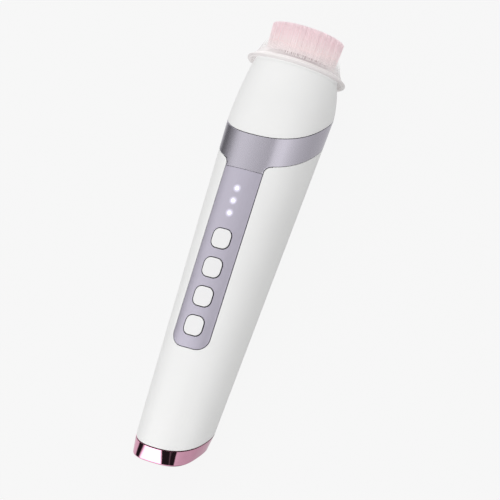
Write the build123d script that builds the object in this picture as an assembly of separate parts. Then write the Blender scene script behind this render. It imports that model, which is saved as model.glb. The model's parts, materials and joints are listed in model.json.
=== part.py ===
from build123d import *
import math
import os

os.makedirs("parts", exist_ok=True)

# Handheld facial cleansing brush, millimetres.
# It is drawn upright: X to the right, -Y to the front where the keys are, +Z from the foot to the brush.
# At the end every piece is laid on its back, keys upwards, with the brush towards +Y.

# Clearances and cutting allowances shared by the whole assembly.
PAST = 1.0
LAYER_PAST = 4.0
FRONT_REACH = 30.0
TOUCH = 0.02
RUNNING = 0.05
SLIP = 0.2

# Handle: rounded-square sections that widen in a straight line from the foot to the collar.
FOOT_Z = -83.0
COLLAR_TOP_Z = 57.9
FOOT_HALF_WIDTH = 15.0
COLLAR_HALF_WIDTH = 20.6
FOOT_SHIFT_Y = -1.8
COLLAR_SHIFT_Y = -1.1
SQUARENESS = 2.45
SECTION_POINTS = 32
SLANT = 0.65
WALL = 1.8
SEAM = 0.3
TAB_SEAM = 0.16
REST_FLAT_DEPTH = 0.25

# Collar, control strip and foot cap, as heights on the axis of the slanted planes that bound them.
COLLAR_LOW_Z = 45.1
BAND_OVERLAP = 6.0
BAND_REACH = 20.0
CAP_LOW_Z = -90.3
CAP_SEAM = 0.5
CAP_TAPER = 1.3
CAP_SQUARENESS = 3.1
CAP_EDGE_RADIUS = 0.5
CAP_WALL = 2.2
CAP_FLOOR = 1.6
SPIGOT_WALL = 1.0
SPIGOT_REACH = 1.2
SEAL_LOW = 1.2
SEAL_HEIGHT = 0.8
BULKHEAD_LOW = 2.1
BULKHEAD_THICKNESS = 2.0
TAB_Z = 28.9
FLARE_RADIUS = 3.8
FLARE_Z = TAB_Z + 0.6
FLARE_REACH = 2.64
STRIP_HALF_WIDTH = 8.7
STRIP_FOOT_HALF_WIDTH = 8.35
STRIP_FOOT_Z = -49.6
STRIP_CORNER = 5.5
PANEL_THICKNESS = 1.8
GASKET_SET_BACK = 0.1
GASKET_THICKNESS = 0.8
GASKET_INSET = 0.5
GASKET_WIDTH = 1.5

# Charging coil and ferrite in the foot cap.
COIL_RADIUS = 9.5
COIL_BORE = 4.0
COIL_LIFT = 1.8
COIL_HEIGHT = 1.2
FERRITE_RADIUS = 10.0
FERRITE_LIFT = 3.4
FERRITE_HEIGHT = 0.8

# Keys and lights.
KEY_COUNT = 4
KEY_TOP_Z = -1.8
KEY_PITCH = 12.75
KEY_SIZE = 8.2
KEY_CORNER = 2.8
KEY_GAP = 0.45
KEY_PROUD = 0.2
KEY_TRAVEL = 0.6
KEY_SKIRT = 1.0
KEY_FLANGE = 0.6
KEY_FLANGE_THICKNESS = 0.8
KEY_STEM_RADIUS = 1.4
LIGHT_COUNT = 3
LIGHT_TOP_Z = 20.4
LIGHT_PITCH = 5.42
LIGHT_RADIUS = 0.6
GUIDE_LENGTH = 12.0
GUIDE_FOOT_RADIUS = 1.5
GUIDE_FOOT_HEIGHT = 1.2
GUIDE_LIFT = 0.9

# Circuit board and battery.
BOARD_FRONT_Y = -12.6
BOARD_THICKNESS = 1.2
BOARD_HALF_WIDTH = 7.6
BOARD_LOW_Z = -50.0
BOARD_HIGH_Z = 27.0
BOARD_SCREW_X = 5.8
BOARD_SCREW_INSET = 3.0
BOARD_SCREW_HEAD_RADIUS = 1.5
BOARD_SCREW_HEAD = 1.0
SWITCH_HEIGHT = 1.4
SWITCH_BODY = 1.0
SWITCH_SIZE = 4.5
SWITCH_PLUNGER_RADIUS = 1.2
LED_HEIGHT = 0.8
LED_HALF_WIDTH = 0.8
LED_HALF_LENGTH = 0.6
CHIP = ((2.2, 6.8), (12.6, 17.2), 0.9)
INDUCTOR = ((-6.6, -3.0), (8.0, 11.6), 1.6)
REGULATOR = ((3.4, 6.2), (4.6, 7.4), 1.0)
CELL_RADIUS = 7.0
CELL_LOW_Z = -62.0
CELL_LENGTH = 50.0
CELL_HIGH_Z = CELL_LOW_Z + CELL_LENGTH
CELL_EDGE = 0.5
CELL_NUB_RADIUS = 2.6
CELL_NUB = 0.6
CELL_Y = 3.0
CONTACT_RADIUS = 4.4
CONTACT_THICKNESS = 0.6
CONTACT_GAP = 0.1
STRAP_THICKNESS = 0.5
STRAP_HALF_HEIGHT = 2.0
CHASSIS_FRONT_Y = -11.2
CHASSIS_BACK_Y = -9.8
CHASSIS_HALF_WIDTH = 9.0
CHASSIS_OVERLAP = 0.1
CRADLE_WIDTH = 3.0
CRADLE_SET_BACKS = (6.0, 40.0)
END_WALL = 1.5
END_WALL_LOW_Z = CELL_LOW_Z - 2.4
END_WALL_HIGH_Z = CELL_HIGH_Z + 0.9
END_WALL_RISE = 3.0
SCREW_RADIUS = 0.8
LEAD_RADIUS = 0.5
LEAD_BEND = 1.6
LEAD_RISE = 5.0
UPPER_LEAD = (2.0, -2.0)
LOWER_LEAD = (-3.0, -7.5)
LEAD_SLOT = 1.2
MOTOR_LEAD_X = 4.0
MOTOR_LEAD_Y = -6.0
MOTOR_LEAD_Z = -1.0

# Drive: motor, two equal reductions on one centre distance, spindle.
MOTOR_RADIUS = 9.0
MOTOR_LOW_Z = 4.0
MOTOR_HIGH_Z = 29.0
MOTOR_SADDLE_GAP = 0.25
MOTOR_EDGE = 1.0
MOTOR_NOSE_RADIUS = 3.0
MOTOR_SHAFT_DEPTH = 11.5
BELL_HEIGHT = 2.0
BELL_EDGE = 0.6
BELL_STEP = 0.3
GEAR_MODULE = 0.4
PINION_TEETH = 12
WHEEL_TEETH = 30
CENTRE_DISTANCE = GEAR_MODULE * (PINION_TEETH + WHEEL_TEETH) / 2
TOOTH_TIP = 0.8
TOOTH_ROOT = 1.15
TOOTH_TIP_SHARE = 0.11
TOOTH_ROOT_SHARE = 0.30
GEAR_FACE = 2.6
GEAR_LIFT = 0.4
GEAR_STAGE_GAP = 0.5
GEARBOX_LOW_Z = 30.2
GEARBOX_HIGH_Z = 41.2
GEARBOX_RADIUS = 16.2
GEARBOX_WALL = 1.2
GEARBOX_SCREW_INSET = 3.0
GEARBOX_SCREW_ANGLES = (70, 150, 210, 290)
GEARBOX_SCREW_HEAD_RADIUS = 1.6
GEARBOX_SCREW_HEAD = 1.0
PLATE = 1.6
MOTOR_SHAFT_RADIUS = 0.75
IDLER_PIN_RADIUS = 0.8
SPINDLE_RADIUS = 2.0
RING_LIFT = 1.1
RING_WIDTH = 1.4
RING_THICKNESS = 0.6
RING_GAP = 1.4

# Head.
HEAD_Y = -0.8
NECK_TOP_Z = 77.6
NECK_TOP_RADIUS = 18.8
NECK_STATIONS = ((0.0, 0.0), (0.55, 0.45), (1.0, 0.0))
SLEEVE_REACH = 3.5
SLEEVE_GAP = 0.15
SLEEVE_WALL = 1.35
SHOULDER_Z = 81.0
SHOULDER_RADIUS = 17.2
SHOULDER_WALL = 2.2
SHOULDER_CHAMFER = (0.9, 1.2)
RIM_Z = 78.9
RIM_RADIUS = 21.85
BEAD_RADIUS = 0.9
CUP_TOP_Z = RIM_Z + 11.0
CUP_TOP_RADIUS = 16.5
CUP_WALL = 0.8
CUP_STATIONS = ((19.2, 2.7), (17.7, 6.0))
WEB_OUTER_RADIUS = 19.0
WEB_TAPER = 0.4
WEB_OVERLAP = 0.1
WEB_DROP = 0.4
WEB_THICKNESS = 1.0
HUB_Z = 81.4
HUB_THICKNESS = 1.2
HUB_RADIUS = 15.0
TUFT_Z = 82.7
BRISTLE_Z = 83.7
BRISTLE_TOP_Z = 96.4
BRISTLE_RADIUS = 16.1
SPINDLE_TOP_Z = 87.4
HUB_BOSS_RADIUS = 3.6
HUB_BOSS_TOP_Z = SPINDLE_TOP_Z + 1.4
HUB_BORE_TOP_Z = SPINDLE_TOP_Z + 0.3
DRIVE_FLAT_X = 1.4
DRIVE_FLAT_REACH = 5.0
BUSH_RADIUS = 3.4
BUSH_REACH = 3.0
DECK_Z = 73.4
DECK_RADIUS = 16.4
DECK_THICKNESS = 2.0
DECK_TOP_Z = 79.4
SEAL_LIP = 1.2


# ---- plain solids ----

def rod(radius, low, high, x=0.0, y=0.0):
    return Pos(x, y, low) * extrude(Circle(radius), high - low)


def tube(outer, inner, low, high, x=0.0, y=0.0):
    return rod(outer, low, high, x, y) - rod(inner, low - PAST, high + PAST, x, y)


def block(x_range, y_range, z_range):
    spans = [x_range, y_range, z_range]
    size = [high - low for low, high in spans]
    middle = [(high + low) / 2 for low, high in spans]
    return Pos(*middle) * Box(*size)


def front_cut(sketch):
    """The space in front of the middle plane that a sketch in the XZ plane covers."""
    return extrude(Plane.XZ * sketch, FRONT_REACH, dir=(0, -1, 0))


def turned(*corners):
    """Ring turned round the Z axis from the corners of its section, each a radius and a height."""
    return revolve(Plane.XZ * Polygon(*corners, align=None), Axis.Z)


# ---- handle form ----

def section_size(z):
    """Half width and centre of the handle's section at height z."""
    share = (z - FOOT_Z) / (COLLAR_TOP_Z - FOOT_Z)
    half = FOOT_HALF_WIDTH + (COLLAR_HALF_WIDTH - FOOT_HALF_WIDTH) * share
    return half, FOOT_SHIFT_Y + (COLLAR_SHIFT_Y - FOOT_SHIFT_Y) * share


def rounded_power(value, power):
    return math.copysign(abs(value) ** power, value)


def section_point(z, angle, grow, squareness):
    half, middle = section_size(z)
    x = (half + grow) * rounded_power(math.cos(angle), 2 / squareness)
    y = middle + (half + grow) * rounded_power(math.sin(angle), 2 / squareness)
    return x, y


def slanted_point(plane_z, angle, grow, squareness=SQUARENESS):
    """Where the handle's straight line at one angle meets the slanted plane."""
    x0, y0 = section_point(0.0, angle, grow, squareness)
    x1, y1 = section_point(1.0, angle, grow, squareness)
    z = (plane_z + SLANT * y0) / (1 - SLANT * (y1 - y0))
    return Vector(x0 + (x1 - x0) * z, y0 + (y1 - y0) * z, z)


def ring_angles():
    return [2 * math.pi * (k + 0.5) / SECTION_POINTS for k in range(SECTION_POINTS)]


def closed_curve(points):
    return Wire([Edge.make_spline(points, periodic=True)])


def slanted_ring(plane_z, grow=0.0, squareness=SQUARENESS):
    return closed_curve([slanted_point(plane_z, angle, grow, squareness) for angle in ring_angles()])


def handle_form(low, high, grow=0.0):
    """Solid length of the handle between two slanted planes."""
    return Solid.make_loft([slanted_ring(low, grow), slanted_ring(high, grow)], ruled=True)


def handle_layer(low, high, outer, inner):
    return handle_form(low, high, outer) - handle_form(low - LAYER_PAST, high + LAYER_PAST, inner)


def cap_plane(lift):
    """Plane parallel to the foot's sloping underside, some way above it."""
    return Plane(origin=(0, 0, CAP_LOW_Z + lift), x_dir=(1, 0, 0), z_dir=(0, -SLANT, 1))


def rest_plane():
    """Plane the brush lies on: it touches the back of the bead and cuts a flat on the lower handle."""
    half, middle = section_size(FOOT_Z)
    lean = (HEAD_Y + RIM_RADIUS - half - middle + REST_FLAT_DEPTH) / (RIM_Z - FOOT_Z)
    origin = (0, HEAD_Y + RIM_RADIUS, RIM_Z)
    return Plane(origin=origin, x_dir=(1, 0, 0), z_dir=(0, 1, -lean)), lean


def with_rest_flat(solid):
    plane, _ = rest_plane()
    return split(solid, bisect_by=plane, keep=Keep.BOTTOM)


def front_y(z):
    half, middle = section_size(z)
    return middle - half


# ---- outlines on the front ----

def strip_outline(grow=0.0):
    top = TAB_Z - TAB_SEAM / 2 + grow
    low = STRIP_FOOT_Z - grow
    corners = [
        (-STRIP_HALF_WIDTH - grow, top),
        (STRIP_HALF_WIDTH + grow, top),
        (STRIP_FOOT_HALF_WIDTH + grow, low),
        (-STRIP_FOOT_HALF_WIDTH - grow, low),
    ]
    outline = Polygon(*corners, align=None)
    return fillet(outline.vertices().sort_by(Axis.Y)[:2], STRIP_CORNER + grow)


def tab_outline(grow=0.0):
    high = COLLAR_LOW_Z - SLANT * COLLAR_HALF_WIDTH + BAND_OVERLAP
    low = TAB_Z + TAB_SEAM / 2 - grow
    half = STRIP_HALF_WIDTH + grow
    reach = STRIP_HALF_WIDTH + FLARE_REACH + grow
    stem = Pos(0, (low + high) / 2) * Rectangle(2 * half, high - low)
    wide = Pos(0, (FLARE_Z + high) / 2) * Rectangle(2 * reach, high - FLARE_Z)
    for side in (-1, 1):
        centre = side * (STRIP_HALF_WIDTH + FLARE_RADIUS)
        wide -= Pos(centre, FLARE_Z) * Circle(FLARE_RADIUS - grow)
    return stem + wide


def key_height(index):
    return KEY_TOP_Z - KEY_PITCH * index


def key_outline(grow=0.0):
    return RectangleRounded(KEY_SIZE + 2 * grow, KEY_SIZE + 2 * grow, KEY_CORNER + grow)


def light_height(index):
    return LIGHT_TOP_Z - LIGHT_PITCH * index


# ---- casing ----

def make_handle_shell():
    shell = handle_layer(FOOT_Z + CAP_SEAM / 2, COLLAR_LOW_Z - SEAM / 2, 0.0, -WALL)
    shell -= front_cut(strip_outline(SEAM))
    shell -= front_cut(tab_outline(SEAM))
    return with_rest_flat(shell)


def make_collar_band():
    band = handle_layer(COLLAR_LOW_Z + SEAM / 2, COLLAR_TOP_Z - SEAM / 2, 0.0, -WALL)
    tab = handle_layer(COLLAR_LOW_Z - BAND_REACH, COLLAR_TOP_Z - SEAM, 0.0, -WALL) & front_cut(tab_outline())
    return with_rest_flat(band + tab)


def make_control_panel():
    panel = handle_layer(FOOT_Z, COLLAR_TOP_Z, 0.0, -PANEL_THICKNESS) & front_cut(strip_outline())
    for index in range(KEY_COUNT):
        panel -= front_cut(Pos(0, key_height(index)) * key_outline(KEY_GAP))
    for index in range(LIGHT_COUNT):
        panel -= front_cut(Pos(0, light_height(index)) * Circle(LIGHT_RADIUS))
    return panel


def make_panel_gasket():
    """Foam frame behind the strip, round the keys."""
    inner = -PANEL_THICKNESS - GASKET_SET_BACK
    sheet = handle_layer(FOOT_Z, COLLAR_TOP_Z, inner, inner - GASKET_THICKNESS)
    frame = sheet & front_cut(strip_outline(-GASKET_INSET))
    return frame - front_cut(strip_outline(-GASKET_INSET - GASKET_WIDTH))


def make_button(index):
    z = key_height(index)
    skin = handle_layer(FOOT_Z, COLLAR_TOP_Z, KEY_PROUD, -PANEL_THICKNESS - KEY_SKIRT)
    cap = skin & front_cut(Pos(0, z) * key_outline())
    flange_front = front_y(z) + PANEL_THICKNESS + KEY_FLANGE
    flange_back = flange_front + KEY_FLANGE_THICKNESS
    flange = Pos(0, flange_back, z) * extrude(Plane.XZ * key_outline(KEY_FLANGE), KEY_FLANGE_THICKNESS)
    stem_end = BOARD_FRONT_Y - SWITCH_HEIGHT - KEY_TRAVEL - RUNNING
    return cap + flange + along_y(KEY_STEM_RADIUS, flange_front, stem_end, 0, z)


def make_light_guides():
    guides = []
    for index in range(LIGHT_COUNT):
        z = light_height(index)
        back = Pos(0, BOARD_FRONT_Y - GUIDE_LIFT, z)
        pin = back * extrude(Plane.XZ * Circle(LIGHT_RADIUS - TOUCH), GUIDE_LENGTH)
        flange = back * extrude(Plane.XZ * Circle(GUIDE_FOOT_RADIUS), GUIDE_FOOT_HEIGHT)
        guides.append((pin + flange) & handle_form(FOOT_Z, COLLAR_TOP_Z))
    return Compound(guides)


def neck_form(grow):
    """Blend from the slanted collar line to the round top of the neck."""
    low = COLLAR_TOP_Z + SEAM / 2
    rings = []
    for share, swell in NECK_STATIONS:
        points = []
        for angle in ring_angles():
            start = slanted_point(low, angle, grow)
            radius = NECK_TOP_RADIUS + grow
            end = Vector(radius * math.cos(angle), HEAD_Y + radius * math.sin(angle), NECK_TOP_Z + grow)
            out = Vector(math.cos(angle), math.sin(angle), 0) * swell
            points.append(start * (1 - share) + end * share + out)
        rings.append(closed_curve(points))
    return Solid.make_loft(rings)


def make_neck_shell():
    """Neck with a rounded shoulder that stands up inside the splash skirt."""
    inside = SHOULDER_RADIUS - SHOULDER_WALL
    outside = NECK_TOP_RADIUS - SEAM / 2
    chamfer_width, chamfer_height = SHOULDER_CHAMFER
    shoulder = turned(
        (inside, NECK_TOP_Z - WALL),
        (outside, NECK_TOP_Z - WALL),
        (outside, NECK_TOP_Z + SEAM),
        (SHOULDER_RADIUS + chamfer_width, SHOULDER_Z - chamfer_height),
        (SHOULDER_RADIUS, SHOULDER_Z),
        (inside, SHOULDER_Z),
    )
    opening = rod(inside, NECK_TOP_Z - 2 * WALL, NECK_TOP_Z + PAST, 0, HEAD_Y)
    inner = -WALL - SLEEVE_GAP
    sleeve = handle_layer(COLLAR_LOW_Z - SLEEVE_REACH, COLLAR_TOP_Z + PAST, inner, inner - SLEEVE_WALL)
    case = with_rest_flat(neck_form(0.0)) - neck_form(-WALL) - opening + sleeve
    return case + Pos(0, HEAD_Y, 0) * shoulder


def cap_form(low, high, grow):
    """Length of the cap, which draws in and turns squarer towards its underside."""
    foot = slanted_ring(low, grow - CAP_TAPER, CAP_SQUARENESS)
    return Solid.make_loft([foot, slanted_ring(high, grow)], ruled=True)


def make_base_cap():
    high = FOOT_Z - CAP_SEAM / 2
    cup = cap_form(CAP_LOW_Z, high, 0.0)
    foot_edge = cup.edges().filter_by(lambda edge: edge.length > FOOT_HALF_WIDTH * 2).sort_by(Axis.Z)[0]
    cup = fillet(foot_edge, CAP_EDGE_RADIUS)
    cup -= cap_form(CAP_LOW_Z + CAP_FLOOR, high + PAST, -CAP_WALL)
    inner = -WALL - SLIP
    spigot = handle_layer(high - SPIGOT_REACH, high + SPIGOT_REACH, inner, inner - SPIGOT_WALL)
    return with_rest_flat(cup + spigot)


def make_base_seal():
    inner = -WALL - SLIP
    low = FOOT_Z + SEAL_LOW
    return handle_layer(low, low + SEAL_HEIGHT, inner, inner - SPIGOT_REACH)


def make_base_bulkhead():
    low = FOOT_Z + BULKHEAD_LOW
    return handle_form(low, low + BULKHEAD_THICKNESS, -WALL - SLIP)


def make_charge_coil():
    winding = Circle(COIL_RADIUS) - Circle(COIL_BORE)
    return extrude(cap_plane(COIL_LIFT) * Pos(0, FOOT_SHIFT_Y) * winding, COIL_HEIGHT)


def make_coil_ferrite():
    return extrude(cap_plane(FERRITE_LIFT) * Pos(0, FOOT_SHIFT_Y) * Circle(FERRITE_RADIUS), FERRITE_HEIGHT)


# ---- electronics ----

def board_screw_places():
    heights = (BOARD_LOW_Z + BOARD_SCREW_INSET, BOARD_HIGH_Z - BOARD_SCREW_INSET)
    return [(x, z) for x in (-BOARD_SCREW_X, BOARD_SCREW_X) for z in heights]


def along_y(radius, y_front, y_back, x, z):
    return Pos(x, y_back, z) * extrude(Plane.XZ * Circle(radius), y_back - y_front)


def make_main_board():
    back = BOARD_FRONT_Y + BOARD_THICKNESS
    span = (-BOARD_HALF_WIDTH, BOARD_HALF_WIDTH)
    board = block(span, (BOARD_FRONT_Y, back), (BOARD_LOW_Z, BOARD_HIGH_Z))
    for x, z in board_screw_places():
        board -= along_y(SCREW_RADIUS + RUNNING, BOARD_FRONT_Y - PAST, back + PAST, x, z)
    return board


def make_board_screws():
    screws = []
    for x, z in board_screw_places():
        seat = BOARD_FRONT_Y - TOUCH
        shank = along_y(SCREW_RADIUS, seat - BOARD_SCREW_HEAD, CHASSIS_BACK_Y - SLIP, x, z)
        screws.append(shank + along_y(BOARD_SCREW_HEAD_RADIUS, seat - BOARD_SCREW_HEAD, seat, x, z))
    return Compound(screws)


def make_tact_switches():
    half = SWITCH_SIZE / 2
    switches = []
    for index in range(KEY_COUNT):
        z = key_height(index)
        body = block((-half, half), (BOARD_FRONT_Y - SWITCH_BODY, BOARD_FRONT_Y), (z - half, z + half))
        plunger = along_y(SWITCH_PLUNGER_RADIUS, BOARD_FRONT_Y - SWITCH_HEIGHT, BOARD_FRONT_Y, 0, z)
        switches.append(body + plunger)
    return Compound(switches)


def make_status_leds():
    leds = []
    for index in range(LIGHT_COUNT):
        z = light_height(index)
        across = (-LED_HALF_WIDTH, LED_HALF_WIDTH)
        deep = (BOARD_FRONT_Y - LED_HEIGHT, BOARD_FRONT_Y)
        leds.append(block(across, deep, (z - LED_HALF_LENGTH, z + LED_HALF_LENGTH)))
    return Compound(leds)


def make_board_components():
    parts = []
    for across, upward, height in (CHIP, INDUCTOR, REGULATOR):
        parts.append(block(across, (BOARD_FRONT_Y - height, BOARD_FRONT_Y), upward))
    return Compound(parts)


def lead_slot(place, low, high):
    """Square channel that lets a lead through."""
    x, y = place
    return block((x - LEAD_SLOT, x + LEAD_SLOT), (y - LEAD_SLOT, y + LEAD_SLOT), (low, high))


def make_chassis():
    """Tray behind the board with cradles and end walls for the cell."""
    side = (-CHASSIS_HALF_WIDTH, CHASSIS_HALF_WIDTH)
    rise = CHASSIS_BACK_Y - CHASSIS_OVERLAP
    tray = block(side, (CHASSIS_FRONT_Y, CHASSIS_BACK_Y), (END_WALL_LOW_Z, BOARD_HIGH_Z - PAST))
    for set_back in CRADLE_SET_BACKS:
        low = CELL_LOW_Z + set_back
        cradle = block(side, (rise, CELL_Y), (low, low + CRADLE_WIDTH))
        tray += cradle - rod(CELL_RADIUS + RUNNING, low - PAST, low + CRADLE_WIDTH + PAST, 0, CELL_Y)
    for low in (END_WALL_LOW_Z, END_WALL_HIGH_Z):
        tray += block(side, (rise, CELL_Y + END_WALL_RISE), (low, low + END_WALL))
    tray -= lead_slot(LOWER_LEAD, END_WALL_LOW_Z + END_WALL, END_WALL_HIGH_Z + END_WALL + PAST)
    tray -= lead_slot(UPPER_LEAD, CELL_HIGH_Z, END_WALL_HIGH_Z + END_WALL + PAST)
    window = (-MOTOR_LEAD_X - LEAD_SLOT, MOTOR_LEAD_X + LEAD_SLOT)
    through = (CHASSIS_FRONT_Y - PAST, CHASSIS_BACK_Y + PAST)
    tray -= block(window, through, (CELL_HIGH_Z + LEAD_RISE - LEAD_BEND, MOTOR_LEAD_Z + CRADLE_WIDTH))
    for x, z in board_screw_places():
        tray -= along_y(SCREW_RADIUS, *through, x, z)
    saddle = MOTOR_RADIUS + MOTOR_SADDLE_GAP
    return tray - rod(saddle, MOTOR_LOW_Z - PAST, MOTOR_HIGH_Z + PAST, 0, HEAD_Y)


def make_battery_cell():
    cell = rod(CELL_RADIUS, CELL_LOW_Z, CELL_HIGH_Z - CELL_NUB, 0, CELL_Y)
    cell = fillet(cell.edges().filter_by(GeomType.CIRCLE), CELL_EDGE)
    return cell + rod(CELL_NUB_RADIUS, CELL_HIGH_Z - PAST, CELL_HIGH_Z, 0, CELL_Y)


def make_battery_contact(low):
    return rod(CONTACT_RADIUS, low, low + CONTACT_THICKNESS, 0, CELL_Y)


def make_battery_strap():
    middle = CELL_LOW_Z + CELL_LENGTH / 2
    outer = CELL_RADIUS + STRAP_THICKNESS
    span = (middle - STRAP_HALF_HEIGHT, middle + STRAP_HALF_HEIGHT)
    return tube(outer, CELL_RADIUS + TOUCH, *span, 0, CELL_Y)


def make_lead(points):
    path = FilletPolyline(*points, radius=LEAD_BEND)
    return sweep(Plane(origin=path @ 0, z_dir=path % 0) * Circle(LEAD_RADIUS), path=path)


def make_battery_leads():
    board_back = BOARD_FRONT_Y + BOARD_THICKNESS
    bend_z = CELL_HIGH_Z + LEAD_RISE
    leads = []
    upper_start = CELL_HIGH_Z + CONTACT_GAP + CONTACT_THICKNESS
    lower_start = CELL_LOW_Z - CONTACT_THICKNESS
    for (x, y), start_z in ((UPPER_LEAD, upper_start), (LOWER_LEAD, lower_start)):
        leads.append(make_lead([(x, y, start_z), (x, y, bend_z), (x, board_back, bend_z)]))
    return Compound(leads)


def make_motor_leads():
    board_back = BOARD_FRONT_Y + BOARD_THICKNESS
    y = MOTOR_LEAD_Y
    leads = []
    for x in (-MOTOR_LEAD_X, MOTOR_LEAD_X):
        points = [(x, y, MOTOR_LOW_Z - TOUCH), (x, y, MOTOR_LEAD_Z), (x, board_back, MOTOR_LEAD_Z)]
        leads.append(make_lead(points))
    return Compound(leads)


# ---- drive ----

def gear(teeth, low, high, bore, lead_angle):
    """Spur gear with straight-sided teeth; one tooth is centred on lead_angle, in degrees."""
    pitch_radius = GEAR_MODULE * teeth / 2
    tip = pitch_radius + TOOTH_TIP * GEAR_MODULE
    root = pitch_radius - TOOTH_ROOT * GEAR_MODULE
    step = 360 / teeth
    foot = (root, TOOTH_ROOT_SHARE)
    crest = (tip, TOOTH_TIP_SHARE)
    corners = ((foot[0], -foot[1]), (crest[0], -crest[1]), crest, foot)
    points = []
    for tooth in range(teeth):
        for radius, share in corners:
            angle = math.radians(lead_angle + step * (tooth + share))
            points.append((radius * math.cos(angle), radius * math.sin(angle)))
    profile = Polygon(*points, align=None)
    if bore:
        profile -= Circle(bore)
    return Pos(0, 0, low) * extrude(profile, high - low)


def gear_levels():
    """Heights of the first and the second gear pair."""
    first = GEARBOX_LOW_Z + PLATE + GEAR_LIFT
    return first, first + GEAR_FACE + GEAR_STAGE_GAP


def make_motor_can():
    can = rod(MOTOR_RADIUS, MOTOR_LOW_Z + BELL_HEIGHT, MOTOR_HIGH_Z)
    can = fillet(can.edges().group_by(Axis.Z)[-1], MOTOR_EDGE)
    nose = rod(MOTOR_NOSE_RADIUS, MOTOR_HIGH_Z - PAST, GEARBOX_LOW_Z + PLATE)
    bore = rod(MOTOR_SHAFT_RADIUS + RUNNING, MOTOR_HIGH_Z - MOTOR_SHAFT_DEPTH - PAST, GEARBOX_HIGH_Z)
    return can + nose - bore


def make_motor_end_bell():
    bell = rod(MOTOR_RADIUS - BELL_STEP, MOTOR_LOW_Z, MOTOR_LOW_Z + BELL_HEIGHT)
    return fillet(bell.edges().group_by(Axis.Z)[0], BELL_EDGE)


def make_motor_shaft():
    first, _ = gear_levels()
    return rod(MOTOR_SHAFT_RADIUS, MOTOR_HIGH_Z - MOTOR_SHAFT_DEPTH, first + GEAR_FACE + RUNNING)


def make_motor_pinion():
    first, _ = gear_levels()
    return gear(PINION_TEETH, first, first + GEAR_FACE, MOTOR_SHAFT_RADIUS, 0)


def make_compound_gear():
    first, second = gear_levels()
    half_tooth = 180 / WHEEL_TEETH
    wheel = gear(WHEEL_TEETH, first, first + GEAR_FACE, 0, 180 + half_tooth)
    high = second + GEAR_FACE + SLIP
    pinion = gear(PINION_TEETH, first + GEAR_FACE, high, 0, 180)
    cluster = wheel + pinion - rod(IDLER_PIN_RADIUS + RUNNING, first - PAST, high + PAST)
    return Pos(CENTRE_DISTANCE, 0, 0) * cluster


def make_output_gear():
    _, second = gear_levels()
    half_tooth = 180 / WHEEL_TEETH
    return gear(WHEEL_TEETH, second, second + GEAR_FACE, SPINDLE_RADIUS, half_tooth)


def gearbox_screw_places():
    radius = GEARBOX_RADIUS - GEARBOX_SCREW_INSET
    angles = [math.radians(angle) for angle in GEARBOX_SCREW_ANGLES]
    return [(radius * math.cos(angle), radius * math.sin(angle)) for angle in angles]


def with_screw_holes(plate, low, high):
    for x, y in gearbox_screw_places():
        plate -= rod(SCREW_RADIUS, low - PAST, high + PAST, x, y)
    return plate - rod(IDLER_PIN_RADIUS, low - PAST, high + PAST, CENTRE_DISTANCE, 0)


def make_gearbox_lower_plate():
    high = GEARBOX_LOW_Z + PLATE
    plate = tube(GEARBOX_RADIUS, MOTOR_NOSE_RADIUS, GEARBOX_LOW_Z, high)
    return with_screw_holes(plate, GEARBOX_LOW_Z, high)


def make_gearbox_upper_plate():
    low = GEARBOX_HIGH_Z - PLATE
    plate = tube(GEARBOX_RADIUS, BUSH_RADIUS, low, GEARBOX_HIGH_Z)
    return with_screw_holes(plate, low, GEARBOX_HIGH_Z)


def make_gearbox_wall():
    low = GEARBOX_LOW_Z + PLATE
    return tube(GEARBOX_RADIUS, GEARBOX_RADIUS - GEARBOX_WALL, low, GEARBOX_HIGH_Z - PLATE)


def make_gearbox_screws():
    screws = []
    for x, y in gearbox_screw_places():
        seat = GEARBOX_LOW_Z - TOUCH
        shank = rod(SCREW_RADIUS, seat - GEARBOX_SCREW_HEAD, GEARBOX_HIGH_Z, x, y)
        screws.append(shank + rod(GEARBOX_SCREW_HEAD_RADIUS, seat - GEARBOX_SCREW_HEAD, seat, x, y))
    return Compound(screws)


def make_idler_pin():
    return rod(IDLER_PIN_RADIUS, GEARBOX_LOW_Z, GEARBOX_HIGH_Z, CENTRE_DISTANCE, 0)


def make_bush(low, high):
    return tube(BUSH_RADIUS, SPINDLE_RADIUS + RUNNING, low, high)


def make_head_deck():
    """Plate across the neck, with the boss that carries the upper bush."""
    plate = rod(DECK_RADIUS, DECK_Z, DECK_Z + DECK_THICKNESS)
    low = DECK_Z - BUSH_REACH
    boss = rod(BUSH_RADIUS + PLATE, low, DECK_TOP_Z)
    return plate + boss - rod(BUSH_RADIUS, low - PAST, DECK_TOP_Z + PAST)


def make_retaining_ring():
    low = GEARBOX_HIGH_Z + RING_LIFT
    high = low + RING_THICKNESS
    ring = tube(SPINDLE_RADIUS + RING_WIDTH, SPINDLE_RADIUS, low, high)
    return ring - block((-RING_GAP / 2, RING_GAP / 2), (0, DRIVE_FLAT_REACH), (low - PAST, high + PAST))


def drive_flat(low, high, x):
    return block((x, x + DRIVE_FLAT_REACH), (-DRIVE_FLAT_REACH, DRIVE_FLAT_REACH), (low, high))


def make_spindle_shaft():
    _, second = gear_levels()
    shaft = rod(SPINDLE_RADIUS, second - RUNNING, SPINDLE_TOP_Z)
    return shaft - drive_flat(HUB_Z - SLIP, SPINDLE_TOP_Z + PAST, DRIVE_FLAT_X)


def make_shaft_seal():
    return tube(BUSH_RADIUS + SEAL_LIP, SPINDLE_RADIUS + RUNNING, DECK_TOP_Z + RUNNING, DECK_TOP_Z + SEAL_LIP)


# ---- head ----

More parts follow.
